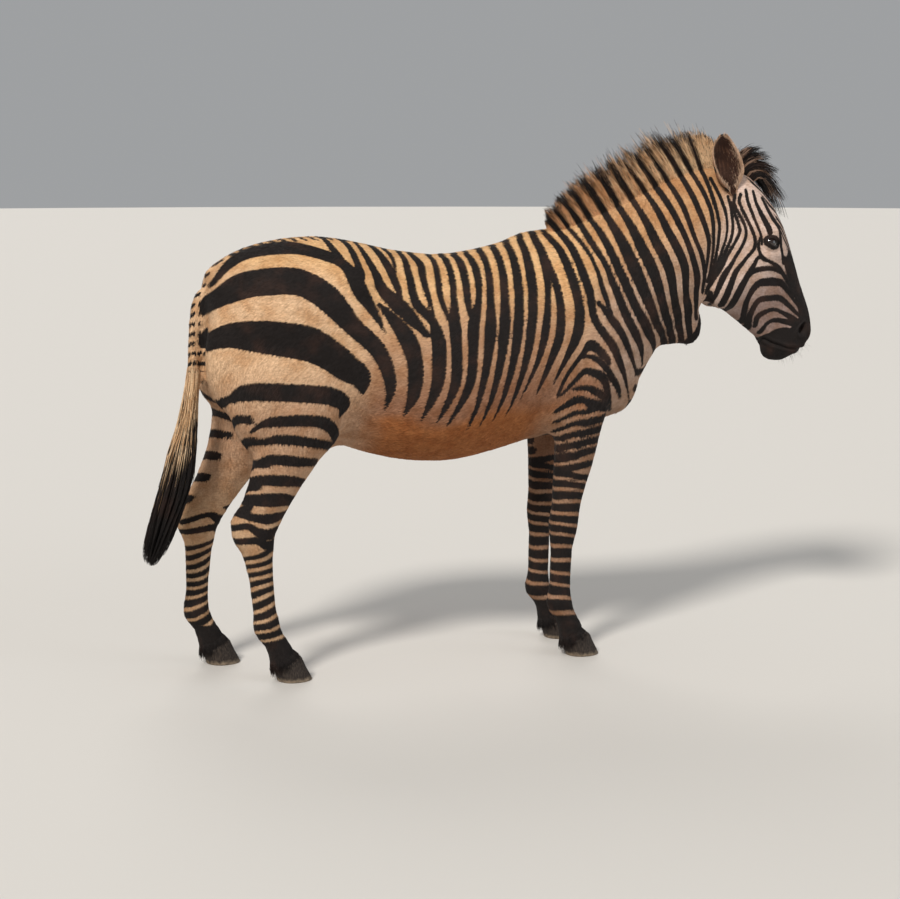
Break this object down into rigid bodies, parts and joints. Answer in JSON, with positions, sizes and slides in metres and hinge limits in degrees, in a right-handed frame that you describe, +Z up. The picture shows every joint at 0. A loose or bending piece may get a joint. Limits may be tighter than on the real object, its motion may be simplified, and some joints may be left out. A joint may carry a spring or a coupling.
{
  "type": "mountain zebra",
  "caption": "Life-size standing mountain zebra, a still display model with dewlap, upright mane, tufted tail and hooves flat on the floor.",
  "frame": {"origin": "middle of the bounding box, on the floor under the hooves", "axes": "+X towards the nose, +Y to the animal's left, +Z up"},
  "size_m": [2.0557, 0.4779, 1.5123],
  "materials": {
    "coat": "short flat hair, near-black stripes on a cream to tan ground",
    "mane": "stiff upright hair in dark and pale bands",
    "tail_hair": "long coarse hair, cream at the root and near-black at the end",
    "hoof": "dark worn horn with faint growth rings",
    "eye": "wet gloss over a dark brown iris"
  },
  "bodies": {
    "root": {"head": "coat", "neck": "coat", "trunk": "coat", "hindquarters": "coat", "ear_right": "coat", "ear_left": "coat", "eye_right": "eye", "eye_left": "eye", "mane": "mane", "forelock": "mane", "foreleg_upper_right": "coat", "foreleg_upper_left": "coat", "foreleg_lower_right": "coat", "foreleg_lower_left": "coat", "hindleg_upper_right": "coat", "hindleg_upper_left": "coat", "hindleg_lower_right": "coat", "hindleg_lower_left": "coat", "hoof_fore_right": "hoof", "hoof_fore_left": "hoof", "hoof_hind_right": "hoof", "hoof_hind_left": "hoof", "tail_dock": "coat", "tail_tuft": "tail_hair"}
  },
  "joints": []
}
